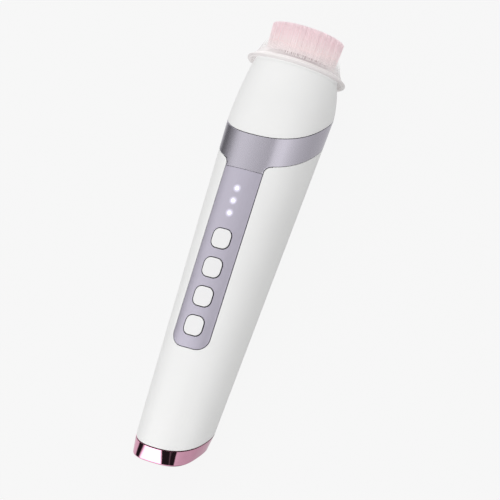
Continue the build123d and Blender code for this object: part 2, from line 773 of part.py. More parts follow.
def make_splash_skirt():
    """Frosted trumpet: a thin flared wall ending in a rounded bead, with a web that grips the shoulder."""
    bead_centre = RIM_RADIUS - BEAD_RADIUS
    wall_foot = (bead_centre + TOUCH, RIM_Z + BEAD_RADIUS - TOUCH)
    outer_stations = [(radius, RIM_Z + rise) for radius, rise in CUP_STATIONS]
    inner_stations = [(radius - CUP_WALL, RIM_Z + rise - CUP_WALL / 2) for radius, rise in CUP_STATIONS]
    mouth_outer = (CUP_TOP_RADIUS, CUP_TOP_Z)
    mouth = (CUP_TOP_RADIUS - CUP_WALL, CUP_TOP_Z)
    foot = (bead_centre - BEAD_RADIUS / 2, RIM_Z)
    outer = Spline(wall_foot, *outer_stations, mouth_outer, tangents=[(-0.9, 0.45), (-0.08, 1)])
    inner = Spline(mouth, *reversed(inner_stations), foot, tangents=[(0.08, -1), (0.9, -0.6)])
    edges = [outer, Line(outer @ 1, mouth), inner, Line(foot, wall_foot)]
    wall = revolve(Plane.XZ * make_face(Wire([curve.edge() for curve in edges])), Axis.Z)
    bead = revolve(Plane.XZ * Pos(bead_centre, RIM_Z) * Circle(BEAD_RADIUS), Axis.Z)
    web_low = SHOULDER_Z - WEB_DROP
    web_inner = SHOULDER_RADIUS + WEB_OVERLAP
    web = turned(
        (web_inner, web_low),
        (WEB_OUTER_RADIUS, web_low),
        (WEB_OUTER_RADIUS - WEB_TAPER, web_low + WEB_THICKNESS),
        (web_inner, web_low + WEB_THICKNESS),
    )
    return wall + bead + web - Pos(0, -HEAD_Y, CONTACT_GAP) * make_neck_shell()


def make_brush_hub():
    disc = rod(HUB_RADIUS, HUB_Z, HUB_Z + HUB_THICKNESS)
    boss = rod(HUB_BOSS_RADIUS, HUB_Z, HUB_BOSS_TOP_Z)
    bore = rod(SPINDLE_RADIUS + RUNNING, HUB_Z - PAST, HUB_BORE_TOP_Z)
    return disc + boss - (bore - drive_flat(HUB_Z - 2 * PAST, HUB_BOSS_TOP_Z, DRIVE_FLAT_X + RUNNING))


def make_tuft_plate():
    return tube(HUB_RADIUS, HUB_BOSS_RADIUS + RUNNING, TUFT_Z, BRISTLE_Z - RUNNING)


def make_bristle_field():
    inside = HUB_BOSS_RADIUS + CONTACT_GAP
    boss_top = HUB_BOSS_TOP_Z + CONTACT_GAP
    return turned(
        (inside, BRISTLE_Z),
        (HUB_RADIUS, BRISTLE_Z),
        (HUB_RADIUS + SLIP, CUP_TOP_Z),
        (BRISTLE_RADIUS, BRISTLE_TOP_Z),
        (0, BRISTLE_TOP_Z),
        (0, boss_top),
        (inside, boss_top),
    )


# ---- assembly ----

def make_case_pieces():
    pieces = {
        "handle_shell": make_handle_shell(),
        "neck_shell": make_neck_shell(),
        "collar_band": make_collar_band(),
        "control_panel": make_control_panel(),
        "panel_gasket": make_panel_gasket(),
        "light_guides": make_light_guides(),
        "base_cap": make_base_cap(),
        "base_seal": make_base_seal(),
        "base_bulkhead": make_base_bulkhead(),
        "charge_coil": make_charge_coil(),
        "coil_ferrite": make_coil_ferrite(),
        "main_board": make_main_board(),
        "board_screws": make_board_screws(),
        "board_components": make_board_components(),
        "tact_switches": make_tact_switches(),
        "status_leds": make_status_leds(),
        "chassis": make_chassis(),
        "battery_cell": make_battery_cell(),
        "battery_contact_upper": make_battery_contact(CELL_HIGH_Z + CONTACT_GAP),
        "battery_contact_lower": make_battery_contact(CELL_LOW_Z - CONTACT_GAP - CONTACT_THICKNESS),
        "battery_strap": make_battery_strap(),
        "battery_leads": make_battery_leads(),
        "motor_leads": make_motor_leads(),
    }
    for index in range(KEY_COUNT):
        pieces[f"button_{index + 1}"] = make_button(index)
    return pieces


def make_drive_pieces():
    """Motor, gears, spindle and head, all drawn round the Z axis and moved to the head's axis."""
    pieces = {
        "motor_can": make_motor_can(),
        "motor_end_bell": make_motor_end_bell(),
        "motor_shaft": make_motor_shaft(),
        "motor_pinion": make_motor_pinion(),
        "gearbox_lower_plate": make_gearbox_lower_plate(),
        "gearbox_wall": make_gearbox_wall(),
        "gearbox_upper_plate": make_gearbox_upper_plate(),
        "gearbox_screws": make_gearbox_screws(),
        "idler_pin": make_idler_pin(),
        "compound_gear": make_compound_gear(),
        "output_gear": make_output_gear(),
        "spindle_shaft": make_spindle_shaft(),
        "spindle_bush_lower": make_bush(GEARBOX_HIGH_Z - PLATE, GEARBOX_HIGH_Z + RING_LIFT - TOUCH),
        "spindle_bush_upper": make_bush(DECK_Z - BUSH_REACH, DECK_TOP_Z),
        "retaining_ring": make_retaining_ring(),
        "head_deck": make_head_deck(),
        "shaft_seal": make_shaft_seal(),
        "splash_skirt": make_splash_skirt(),
        "brush_hub": make_brush_hub(),
        "tuft_plate": make_tuft_plate(),
        "bristle_field": make_bristle_field(),
    }
    return {name: Pos(0, HEAD_Y, 0) * piece for name, piece in pieces.items()}


def laid_down(pieces):
    """Turn from upright to lying on the back flat, origin at the middle of the base of the box."""
    _, lean = rest_plane()
    turn = Rot(X=math.degrees(math.atan(lean)) - 90)
    box = Compound([turn * piece for piece in pieces.values()]).bounding_box()
    return Pos(-(box.min.X + box.max.X) / 2, -(box.min.Y + box.max.Y) / 2, -box.min.Z) * turn


pieces = {**make_case_pieces(), **make_drive_pieces()}
place = laid_down(pieces)
for name, piece in pieces.items():
    export_step(place * piece, f"parts/{name}.step")
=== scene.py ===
import json
import math
import random

import bmesh
import bpy
from mathutils import Matrix, Vector


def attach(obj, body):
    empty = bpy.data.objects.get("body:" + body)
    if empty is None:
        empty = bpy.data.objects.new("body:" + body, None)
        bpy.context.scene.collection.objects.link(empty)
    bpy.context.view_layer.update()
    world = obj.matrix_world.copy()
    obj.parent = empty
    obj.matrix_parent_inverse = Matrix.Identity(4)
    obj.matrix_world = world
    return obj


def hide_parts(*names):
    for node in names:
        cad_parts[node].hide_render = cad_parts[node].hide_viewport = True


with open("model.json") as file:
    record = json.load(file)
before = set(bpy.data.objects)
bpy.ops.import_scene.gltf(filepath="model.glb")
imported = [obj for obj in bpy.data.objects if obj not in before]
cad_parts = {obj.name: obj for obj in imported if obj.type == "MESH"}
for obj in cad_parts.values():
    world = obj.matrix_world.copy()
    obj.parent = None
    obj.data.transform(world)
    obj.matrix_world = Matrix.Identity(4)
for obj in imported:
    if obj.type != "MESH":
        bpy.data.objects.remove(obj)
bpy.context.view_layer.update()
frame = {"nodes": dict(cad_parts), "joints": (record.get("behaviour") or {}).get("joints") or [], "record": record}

MM = 0.001
nodes = frame["nodes"]
joints = {joint["name"]: joint for joint in frame["joints"]}

# The handle's own directions, read from the joints: along it to the brush, into the keys, and across it.
along = Vector(joints["brush_spin"]["axis"])
inward = Vector(joints["button_1_press"]["axis"])
across = along.cross(-inward)
SPIN_HEIGHT = 60.0
HEAD_OFFSET = -0.8
origin = Vector(joints["brush_spin"]["pos_m"]) - along * SPIN_HEIGHT * MM - inward * HEAD_OFFSET * MM


def at(x, y, z):
    """Point in the row frame from millimetres across, inward from the axis, and along the handle."""
    return origin + across * (x * MM) + inward * (y * MM) + along * (z * MM)


# ---- camera ----

VIEW_TURN = math.radians(24.45)
VIEW_DROP = math.radians(7.97)
VIEW_ROLL = math.radians(18.34)
VIEW_DISTANCE = 1.4026
VIEW_ASIDE = 4.55
VIEW_BELOW = 1.64
LENS = 238.2
SENSOR_WIDTH = 36.0
CLIP_START = 0.05
CLIP_END = 20.0


def make_camera():
    """Long lens in front of the keys, turned and rolled; returns the direction back to the camera."""
    flat = across * math.cos(VIEW_TURN) + inward * math.sin(VIEW_TURN)
    facing = across * math.sin(VIEW_TURN) - inward * math.cos(VIEW_TURN)
    back = facing * math.cos(VIEW_DROP) - along * math.sin(VIEW_DROP)
    rise = facing * math.sin(VIEW_DROP) + along * math.cos(VIEW_DROP)
    right = flat * math.cos(VIEW_ROLL) + rise * math.sin(VIEW_ROLL)
    up = rise * math.cos(VIEW_ROLL) - flat * math.sin(VIEW_ROLL)
    data = bpy.data.cameras.new("camera")
    data.lens = LENS
    data.sensor_width = SENSOR_WIDTH
    data.clip_start = CLIP_START
    data.clip_end = CLIP_END
    camera = bpy.data.objects.new("camera", data)
    place = origin + back * VIEW_DISTANCE + right * (VIEW_ASIDE * MM) - up * (VIEW_BELOW * MM)
    turn = Matrix((right, up, back)).transposed().to_4x4()
    camera.matrix_world = Matrix.Translation(place) @ turn
    bpy.context.scene.collection.objects.link(camera)
    bpy.context.scene.camera = camera
    return back


view_back = make_camera()


# ---- materials ----

def new_material(name):
    material = bpy.data.materials.new(name)
    material.use_nodes = True
    tree = material.node_tree
    shader = tree.nodes["Principled BSDF"]
    return material, tree, shader


def add_node(tree, kind, **settings):
    node = tree.nodes.new(kind)
    for name, value in settings.items():
        setattr(node, name, value)
    return node


def noise(tree, scale, detail=4.0, stretch=(1.0, 1.0, 1.0)):
    place = add_node(tree, "ShaderNodeTexCoord")
    mapping = add_node(tree, "ShaderNodeMapping")
    mapping.inputs["Scale"].default_value = stretch
    texture = add_node(tree, "ShaderNodeTexNoise")
    texture.inputs["Scale"].default_value = scale
    texture.inputs["Detail"].default_value = detail
    tree.links.new(place.outputs["Object"], mapping.inputs["Vector"])
    tree.links.new(mapping.outputs["Vector"], texture.inputs["Vector"])
    return texture.outputs["Fac"]


def ramp(tree, source, low, high, from_low=0.3, from_high=0.7):
    """Colour ramp between two colours over part of the source's range."""
    node = add_node(tree, "ShaderNodeValToRGB")
    stops = node.color_ramp.elements
    stops[0].position, stops[1].position = from_low, from_high
    stops[0].color = (*low, 1.0)
    stops[1].color = (*high, 1.0)
    tree.links.new(source, node.inputs["Fac"])
    return node.outputs["Color"]


def spread(tree, source, low, high):
    node = add_node(tree, "ShaderNodeMapRange")
    node.inputs["To Min"].default_value = low
    node.inputs["To Max"].default_value = high
    tree.links.new(source, node.inputs["Value"])
    return node.outputs["Result"]


def bump(tree, shader, source, strength, depth):
    node = add_node(tree, "ShaderNodeBump")
    node.inputs["Strength"].default_value = strength
    node.inputs["Distance"].default_value = depth
    tree.links.new(source, node.inputs["Height"])
    tree.links.new(node.outputs["Normal"], shader.inputs["Normal"])


def tint(colour, factor):
    """The colour made lighter or darker."""
    return tuple(min(1.0, channel * factor) for channel in colour)


CLOUD_SCALE = 45.0
CLOUD_DARKER = 0.985
CLOUD_LIGHTER = 1.01
PLASTIC_GLOSS_SPREAD = 0.15
PLASTIC_RELIEF_STRENGTH = 0.12
COAT_ROUGHNESS = 0.12
SCATTER_RADIUS = (0.004, 0.004, 0.004)
SCATTER_SCALE = 0.3


def moulded(name, colour, roughness, coat=0.0, grain=2200.0, relief=0.000004, subsurface=0.0):
    """Moulded plastic: faint mottling, fine grain in gloss and relief."""
    material, tree, shader = new_material(name)
    clouds = noise(tree, CLOUD_SCALE, 3.0)
    fine = noise(tree, grain, 5.0)
    darker, lighter = tint(colour, CLOUD_DARKER), tint(colour, CLOUD_LIGHTER)
    tree.links.new(ramp(tree, clouds, darker, lighter), shader.inputs["Base Color"])
    glossiest, dullest = roughness * (1.0 - PLASTIC_GLOSS_SPREAD), roughness * (1.0 + PLASTIC_GLOSS_SPREAD)
    tree.links.new(spread(tree, fine, glossiest, dullest), shader.inputs["Roughness"])
    bump(tree, shader, fine, PLASTIC_RELIEF_STRENGTH, relief)
    shader.inputs["Coat Weight"].default_value = coat
    shader.inputs["Coat Roughness"].default_value = COAT_ROUGHNESS
    shader.inputs["Subsurface Weight"].default_value = subsurface
    shader.inputs["Subsurface Radius"].default_value = SCATTER_RADIUS
    shader.inputs["Subsurface Scale"].default_value = SCATTER_SCALE
    return material


GRAIN_DARKER = 0.04
GRAIN_LIGHTER = 0.03
METAL_GLOSSIEST = 0.85
METAL_DULLEST = 1.2
METAL_RELIEF_STRENGTH = 0.08


def metal(name, colour, roughness, stretch=(1.0, 1.0, 1.0), grain=900.0, relief=0.000003, mottle=1.0):
    """Metal or plating with fine grain; mottle scales how far the grain shows in colour."""
    material, tree, shader = new_material(name)
    shader.inputs["Metallic"].default_value = 1.0
    streaks = noise(tree, grain, 4.0, stretch)
    darker, lighter = tint(colour, 1.0 - GRAIN_DARKER * mottle), tint(colour, 1.0 + GRAIN_LIGHTER * mottle)
    tree.links.new(ramp(tree, streaks, darker, lighter), shader.inputs["Base Color"])
    glossiest, dullest = roughness * METAL_GLOSSIEST, roughness * METAL_DULLEST
    tree.links.new(spread(tree, streaks, glossiest, dullest), shader.inputs["Roughness"])
    bump(tree, shader, streaks, METAL_RELIEF_STRENGTH, relief)
    return material


# Grain drawn out along the handle, and grain turned in fine rings round it, as scales per axis.
BRUSHED = {"stretch": (1.0, 0.3, 1.0), "grain": 1500.0}
TURNED = (1.0, 12.0, 1.0)


def make_materials():
    """One material for each slot of the record."""
    return {
        "shell_white": moulded("pearl_white", (0.88, 0.88, 0.875), 0.44, subsurface=0.05),
        "key_white": make_key(),
        "collar_lilac": metal("collar_lilac", (0.545, 0.52, 0.59), 0.26, relief=5e-8, mottle=0.3, **BRUSHED),
        "panel_lilac": make_panel(),
        "rose_gold": make_plating(),
        # The hub's rose is darkened as painted shade for the slot below the bristles.
        "hub_rose": moulded("hub_rose", (0.20, 0.07, 0.095), 0.5),
        "foam_black": moulded("foam_black", (0.03, 0.03, 0.035), 0.8, relief=0.00003),
        "seal_rubber": moulded("seal_rubber", (0.04, 0.04, 0.04), 0.6),
        "inner_grey": moulded("inner_grey", (0.25, 0.26, 0.27), 0.5),
        "board_green": moulded("board_green", (0.02, 0.16, 0.07), 0.35, coat=0.4),
        "chip_black": moulded("chip_black", (0.02, 0.02, 0.02), 0.4),
        "cell_sleeve": moulded("cell_sleeve", (0.05, 0.15, 0.32), 0.3, coat=0.4),
        "lead_red": moulded("lead_red", (0.45, 0.02, 0.02), 0.4),
        "gear_acetal": moulded("gear_acetal", (0.80, 0.80, 0.76), 0.35),
        "led_white": moulded("led_white", (0.85, 0.85, 0.75), 0.3),
        "ferrite": moulded("ferrite", (0.04, 0.04, 0.045), 0.7),
        "copper": metal("copper", (0.75, 0.35, 0.2), 0.3, stretch=TURNED),
        "fastener_steel": metal("fastener_steel", (0.6, 0.6, 0.62), 0.3),
        "switch_steel": metal("switch_steel", (0.6, 0.6, 0.6), 0.35),
        "nickel": metal("nickel", (0.66, 0.63, 0.58), 0.3),
        "can_steel": metal("can_steel", (0.55, 0.55, 0.57), 0.28, stretch=TURNED),
        "shaft_steel": metal("shaft_steel", (0.7, 0.7, 0.72), 0.18),
        "gear_brass": metal("gear_brass", (0.75, 0.55, 0.26), 0.3),
        "plate_steel": metal("plate_steel", (0.6, 0.6, 0.62), 0.32),
        "light_clear": make_lit_guide(),
        "frosted_cup": make_frosted(),
        "bristle_pink": make_filament(),
    }


# Dark grey painted on the keys' sides: painted shade for the gap round each key.
KEY_GAP_SHADE_COLOUR = (0.10, 0.10, 0.11, 1.0)
KEY_SIDE_FACING = 0.5
KEY_TOP_FACING = 0.75


def make_key():
    """White cap whose sides are painted dark grey as shade for the gap round the key."""
    material = moulded("key_white", (0.87, 0.865, 0.87), 0.45)
    tree = material.node_tree
    shader = tree.nodes["Principled BSDF"]
    top_colour = shader.inputs["Base Color"].links[0].from_socket
    facing = add_node(tree, "ShaderNodeVectorMath", operation="DOT_PRODUCT")
    facing.inputs[1].default_value = -inward
    surface = add_node(tree, "ShaderNodeNewGeometry")
    tree.links.new(surface.outputs["True Normal"], facing.inputs[0])
    side = add_node(tree, "ShaderNodeMapRange")
    side.inputs["From Min"].default_value = KEY_SIDE_FACING
    side.inputs["From Max"].default_value = KEY_TOP_FACING
    tree.links.new(facing.outputs["Value"], side.inputs["Value"])
    mix = add_node(tree, "ShaderNodeMix", data_type="RGBA")
    mix.inputs["A"].default_value = KEY_GAP_SHADE_COLOUR
    tree.links.new(side.outputs["Result"], mix.inputs["Factor"])
    tree.links.new(top_colour, mix.inputs["B"])
    tree.links.new(mix.outputs["Result"], shader.inputs["Base Color"])
    return material


CAP_SEAM_Z = -83.1
SLANT = 0.65
# Near-black painted on the spigot: painted shade for the gap at the cap's seam.
SEAM_SHADE_COLOUR = (0.03, 0.028, 0.03, 1.0)


def make_plating():
    """Polished rose plating on the cap; the spigot above the slanted seam is painted near-black as shade for the
    seam gap.
    """
    material = metal("rose_gold", (0.66, 0.34, 0.455), 0.045, grain=300.0, relief=0.000001)
    tree = material.node_tree
    shader = tree.nodes["Principled BSDF"]
    plated = shader.inputs["Base Color"].links[0].from_socket
    place = add_node(tree, "ShaderNodeTexCoord")
    offset = add_node(tree, "ShaderNodeVectorMath", operation="SUBTRACT")
    offset.inputs[1].default_value = at(0, 0, CAP_SEAM_Z)
    tree.links.new(place.outputs["Object"], offset.inputs[0])
    height = add_node(tree, "ShaderNodeVectorMath", operation="DOT_PRODUCT")
    height.inputs[1].default_value = along - inward * SLANT
    tree.links.new(offset.outputs["Vector"], height.inputs[0])
    above = add_node(tree, "ShaderNodeMath", operation="GREATER_THAN")
    above.inputs[1].default_value = 0.0
    tree.links.new(height.outputs["Value"], above.inputs[0])
    mix = add_node(tree, "ShaderNodeMix", data_type="RGBA")
    mix.inputs["B"].default_value = SEAM_SHADE_COLOUR
    tree.links.new(above.outputs["Value"], mix.inputs["Factor"])
    tree.links.new(plated, mix.inputs["A"])
    tree.links.new(mix.outputs["Result"], shader.inputs["Base Color"])
    return material


# Height along the handle and place in front of its axis of each light, then the glow round it.
LIGHT_PLACES = ((20.4, -20.46), (14.98, -20.28), (9.56, -20.10))
GLOW_REACH = 2.3
GLOW_START = 0.4
GLOW_STRENGTH = 0.55
GLOW_COLOUR = (0.82, 0.82, 1.0, 1.0)
PANEL_METALLIC = 0.85


def make_panel():
    """Metallic lilac with the glow of the three lights spilling onto it."""
    material = metal("panel_lilac", (0.55, 0.52, 0.612), 0.34, relief=0.0000003, mottle=0.5, **BRUSHED)
    tree = material.node_tree
    shader = tree.nodes["Principled BSDF"]
    shader.inputs["Metallic"].default_value = PANEL_METALLIC
    place = add_node(tree, "ShaderNodeTexCoord")
    nearest = None
    for height, front in LIGHT_PLACES:
        centre = at(0, front, height)
        gap = add_node(tree, "ShaderNodeVectorMath", operation="DISTANCE")
        gap.inputs[1].default_value = centre
        tree.links.new(place.outputs["Object"], gap.inputs[0])
        if nearest is None:
            nearest = gap.outputs["Value"]
        else:
            least = add_node(tree, "ShaderNodeMath", operation="MINIMUM")
            tree.links.new(nearest, least.inputs[0])
            tree.links.new(gap.outputs["Value"], least.inputs[1])
            nearest = least.outputs["Value"]
    glow = add_node(tree, "ShaderNodeMapRange", interpolation_type="SMOOTHERSTEP")
    glow.inputs["From Min"].default_value = GLOW_START * MM
    glow.inputs["From Max"].default_value = GLOW_REACH * MM
    glow.inputs["To Min"].default_value = GLOW_STRENGTH
    glow.inputs["To Max"].default_value = 0.0
    tree.links.new(nearest, glow.inputs["Value"])
    tree.links.new(glow.outputs["Result"], shader.inputs["Emission Strength"])
    shader.inputs["Emission Color"].default_value = GLOW_COLOUR
    return material


def make_lit_guide():
    """Clear guide lit from behind, cool white."""
    material, tree, shader = new_material("light_clear")
    fine = noise(tree, 900.0, 3.0)
    tree.links.new(spread(tree, fine, 0.18, 0.3), shader.inputs["Roughness"])
    shader.inputs["Base Color"].default_value = (0.95, 0.95, 1.0, 1.0)
    shader.inputs["Emission Color"].default_value = (0.93, 0.92, 1.0, 1.0)
    shader.inputs["Emission Strength"].default_value = 3.0
    return material


# Share of the light the skirt's wall stops, as (share of the height, level) pairs.
WALL_LEVELS = ((0.06, 0.84), (0.13, 0.66), (0.19, 0.14), (0.60, 0.0))
EDGE_BLEND = 0.35
EDGE_FADE_LOW = 0.25
EDGE_FADE_HIGH = 0.9
EDGE_LEVEL = 0.75


def make_frosted():
    """Frosted soft plastic: nearly solid at the lip, clearing upwards, and denser where seen edge-on."""
    material, tree, shader = new_material("frosted_cup")
    fine = noise(tree, 1400.0, 4.0)
    clouds = noise(tree, 60.0, 2.0)
    tree.links.new(ramp(tree, clouds, (0.85, 0.80, 0.80), (0.87, 0.83, 0.825)), shader.inputs["Base Color"])
    tree.links.new(spread(tree, fine, 0.28, 0.4), shader.inputs["Roughness"])
    bump(tree, shader, fine, 0.15, 0.000006)
    height = add_node(tree, "ShaderNodeAttribute", attribute_name="height")
    solid = add_node(tree, "ShaderNodeValToRGB")
    stops = solid.color_ramp.elements
    while len(stops) < len(WALL_LEVELS):
        stops.new(0.5)
    for stop, (position, level) in zip(stops, WALL_LEVELS):
        stop.position = position
        stop.color = (level, level, level, 1.0)
    tree.links.new(height.outputs["Fac"], solid.inputs["Fac"])
    rim = add_node(tree, "ShaderNodeLayerWeight")
    rim.inputs["Blend"].default_value = EDGE_BLEND
    fade = add_node(tree, "ShaderNodeMapRange", interpolation_type="SMOOTHSTEP")
    fade.inputs["From Min"].default_value = EDGE_FADE_LOW
    fade.inputs["From Max"].default_value = EDGE_FADE_HIGH
    fade.inputs["To Min"].default_value = EDGE_LEVEL
    fade.inputs["To Max"].default_value = 0.0
    tree.links.new(height.outputs["Fac"], fade.inputs["Value"])
    edge = add_node(tree, "ShaderNodeMath", operation="MULTIPLY")
    tree.links.new(rim.outputs["Facing"], edge.inputs[0])
    tree.links.new(fade.outputs["Result"], edge.inputs[1])
    total = add_node(tree, "ShaderNodeMath", operation="ADD", use_clamp=True)
    tree.links.new(solid.outputs["Color"], total.inputs[0])
    tree.links.new(edge.outputs["Value"], total.inputs[1])
    tree.links.new(total.outputs["Value"], shader.inputs["Alpha"])
    shader.inputs["Coat Weight"].default_value = 0.3
    shader.inputs["Coat Roughness"].default_value = 0.2
    return material


ROOT_COLOUR = (0.97, 0.87, 0.875)
TIP_COLOUR = (0.97, 0.79, 0.83)
ROOT_COLOUR_END = 0.35
DARKEST_SHADE = (0.86, 0.86, 0.86)
FULL_SHADE = (1.0, 1.0, 1.0)
# Stands for the light that the fine filaments pass on to each other.
FILAMENT_GLOW = 0.21


def make_filament():
    """Pink nylon: paler at the root and stronger towards the cut tips."""
    material, tree, shader = new_material("bristle_pink")
    height = add_node(tree, "ShaderNodeAttribute", attribute_name="height")
    shade = add_node(tree, "ShaderNodeAttribute", attribute_name="shade")
    colour = ramp(tree, height.outputs["Fac"], ROOT_COLOUR, TIP_COLOUR, ROOT_COLOUR_END, 1.0)
    mix = add_node(tree, "ShaderNodeMix", data_type="RGBA", blend_type="MULTIPLY")
    mix.inputs["Factor"].default_value = 1.0
    tree.links.new(colour, mix.inputs["A"])
    tree.links.new(ramp(tree, shade.outputs["Fac"], DARKEST_SHADE, FULL_SHADE, 0.0, 1.0), mix.inputs["B"])
    tree.links.new(mix.outputs["Result"], shader.inputs["Base Color"])
    tree.links.new(spread(tree, shade.outputs["Fac"], 0.35, 0.5), shader.inputs["Roughness"])
    tree.links.new(mix.outputs["Result"], shader.inputs["Emission Color"])
    shader.inputs["Emission Strength"].default_value = FILAMENT_GLOW
    return material


materials = make_materials()


def dress_cad_nodes():
    """Give every CAD node its slot's material."""
    for part in frame["record"]["subparts"]:
        mesh = nodes[part["node"]].data
        mesh.materials.clear()
        mesh.materials.append(materials[part["material_slot"]])
        mesh.polygons.foreach_set("use_smooth", [True] * len(mesh.polygons))


dress_cad_nodes()

WELD_DISTANCE = 0.01
EDGE_SEGMENTS = 2
SHARP_EDGE = 50
EDGE_WIDTHS = {"collar_band": 0.12, "handle_shell": 0.25, "neck_shell": 0.15,
               "button_1": 0.25, "button_2": 0.25, "button_3": 0.25, "button_4": 0.25}


def soften_edges():
    """Small moulded radii on the sharp outer edges, with even shading on the faces beside them."""
    for node, width in EDGE_WIDTHS.items():
        weld = nodes[node].modifiers.new("join", "WELD")
        weld.merge_threshold = WELD_DISTANCE * MM
        bevel = nodes[node].modifiers.new("edge", "BEVEL")
        bevel.width = width * MM
        bevel.segments = EDGE_SEGMENTS
        bevel.limit_method = "ANGLE"
        bevel.angle_limit = math.radians(SHARP_EDGE)
        bevel.harden_normals = True
        shading = nodes[node].modifiers.new("shading", "WEIGHTED_NORMAL")
        shading.mode = "FACE_AREA_WITH_ANGLE"
        shading.keep_sharp = True


soften_edges()


# ---- bristles ----

FIELD_RADIUS = 15.9
ROOT_RADIUS = 15.3
FILAMENT_RADIUS = 0.11
FILAMENT_SPACING = 0.34
FIELD_LOW = 82.2
FIELD_HIGH = 96.35
BOSS_RADIUS = 3.7
BOSS_TOP = 88.95
FILAMENT_SIDES = 3
FILAMENT_STATIONS = (0.0, 0.55, 1.0)
FILAMENT_TAPER = 0.25
SPLAY_POWER = 1.6
ANGLE_SCATTER = 0.01
TIP_SCATTER = 0.06
LENGTH_SCATTER = 0.10
LEAN_SCATTER = 0.07
FIELD_EDGE_DROP = 0.45
FIELD_EDGE_POWER = 10
BRISTLE_SEED = 11


def make_bristles():
    """Thousands of fine filaments on a sunflower pattern, splayed a little towards the rim."""
    rng = random.Random(BRISTLE_SEED)
    count = int((FIELD_RADIUS / FILAMENT_SPACING) ** 2 * math.pi)
    golden = math.pi * (3 - math.sqrt(5))
    verts, faces, heights, shades = [], [], [], []
    for k in range(count):
        share = math.sqrt((k + 0.5) / count)
        angle = k * golden + rng.gauss(0, ANGLE_SCATTER)
        tip_radius = FIELD_RADIUS * share + rng.gauss(0, TIP_SCATTER)
        root_radius = ROOT_RADIUS * share
        low = FIELD_LOW if root_radius > BOSS_RADIUS else BOSS_TOP
        high = FIELD_HIGH - abs(rng.gauss(0, LENGTH_SCATTER)) - FIELD_EDGE_DROP * share ** FIELD_EDGE_POWER
        lean = rng.gauss(0, LEAN_SCATTER)
        shade = rng.random()
        rings = []
        for part in FILAMENT_STATIONS:
            z = low + (high - low) * part
            radius = root_radius + (tip_radius - root_radius) * part ** SPLAY_POWER
            x = radius * math.cos(angle) + lean * part * math.sin(angle)
            y = radius * math.sin(angle) - lean * part * math.cos(angle)
            thick = FILAMENT_RADIUS * (1.0 - FILAMENT_TAPER * part)
            first = len(verts)
            for side in range(FILAMENT_SIDES):
                turn = 2 * math.pi * side / FILAMENT_SIDES + k
                point = at(x + thick * math.cos(turn), HEAD_OFFSET + y + thick * math.sin(turn), z)
                verts.append(point)
                heights.append((z - FIELD_LOW) / (FIELD_HIGH - FIELD_LOW))
                shades.append(shade)
            rings.append(first)
        for low_ring, high_ring in zip(rings, rings[1:]):
            for side in range(FILAMENT_SIDES):
                after = (side + 1) % FILAMENT_SIDES
                faces.append((low_ring + side, low_ring + after, high_ring + after, high_ring + side))
        top = rings[-1]
        faces.append((top, top + 1, top + 2))
    mesh = bpy.data.meshes.new("bristles")
    mesh.from_pydata(verts, [], faces)
    for name, values in (("height", heights), ("shade", shades)):
        attribute = mesh.attributes.new(name, "FLOAT", "POINT")
        attribute.data.foreach_set("value", values)
    mesh.polygons.foreach_set("use_smooth", [True] * len(mesh.polygons))
    mesh.materials.append(materials["bristle_pink"])
    bristles = bpy.data.objects.new("bristles", mesh)
    bpy.context.scene.collection.objects.link(bristles)
    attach(bristles, "brush")
    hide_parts("bristle_field")


make_bristles()


# ---- splash skirt ----

RIM_Z = 78.9
RIM_RADIUS = 21.85
BEAD_RADIUS = 0.88
MOUTH_Z = 89.85
# Stations of the wall's two faces as (radius, height) pairs.
SKIRT_OUTSIDE = ((20.75, 79.95), (20.0, 80.55), (19.2, 81.6), (18.35, 83.1),
                 (17.7, 84.9), (17.05, 87.3), (16.5, 89.6))
SKIRT_INSIDE = ((15.8, 89.6), (16.3, 87.3), (16.92, 84.7), (17.55, 82.9),
                (18.4, 81.3), (19.3, 80.1), (20.1, 79.35))
SKIRT_STEPS = 256
CURVE_PIECES = 6
LIP_RADIUS = 16.15
LIP_REACH = 0.35
LIP_Z = 89.6
LIP_RISE = 0.25
LIP_STEPS = 8
BEAD_START = 150
BEAD_SWEEP = 315
BEAD_STEPS = 16


def smooth_run(points):
    """Points along a Catmull-Rom curve through the given ones."""
    ends = [points[0]] + list(points) + [points[-1]]
    run = []
    for k in range(1, len(ends) - 2):
        a, b, c, d = (Vector(ends[k + j]) for j in (-1, 0, 1, 2))
        for part in range(CURVE_PIECES):
            t = part / CURVE_PIECES
            run.append(0.5 * (2 * b + (c - a) * t + (2 * a - 5 * b + 4 * c - d) * t * t
                              + (3 * b - a - 3 * c + d) * t ** 3))
    run.append(Vector(points[-1]))
    return run


def skirt_outline():
    """Closed outline in (radius, height): outside wall, rolled mouth, inside wall and the bead."""
    lip = []
    for k in range(1, LIP_STEPS):
        turn = math.pi * k / LIP_STEPS
        lip.append(Vector((LIP_RADIUS + LIP_REACH * math.cos(turn), LIP_Z + LIP_RISE * math.sin(turn))))
    bead = []
    centre = RIM_RADIUS - BEAD_RADIUS
    for k in range(BEAD_STEPS + 1):
        turn = math.radians(BEAD_START + BEAD_SWEEP * k / BEAD_STEPS)
        bead.append(Vector((centre + BEAD_RADIUS * math.cos(turn), RIM_Z + BEAD_RADIUS * math.sin(turn))))
    return smooth_run(SKIRT_OUTSIDE) + lip + smooth_run(SKIRT_INSIDE) + bead


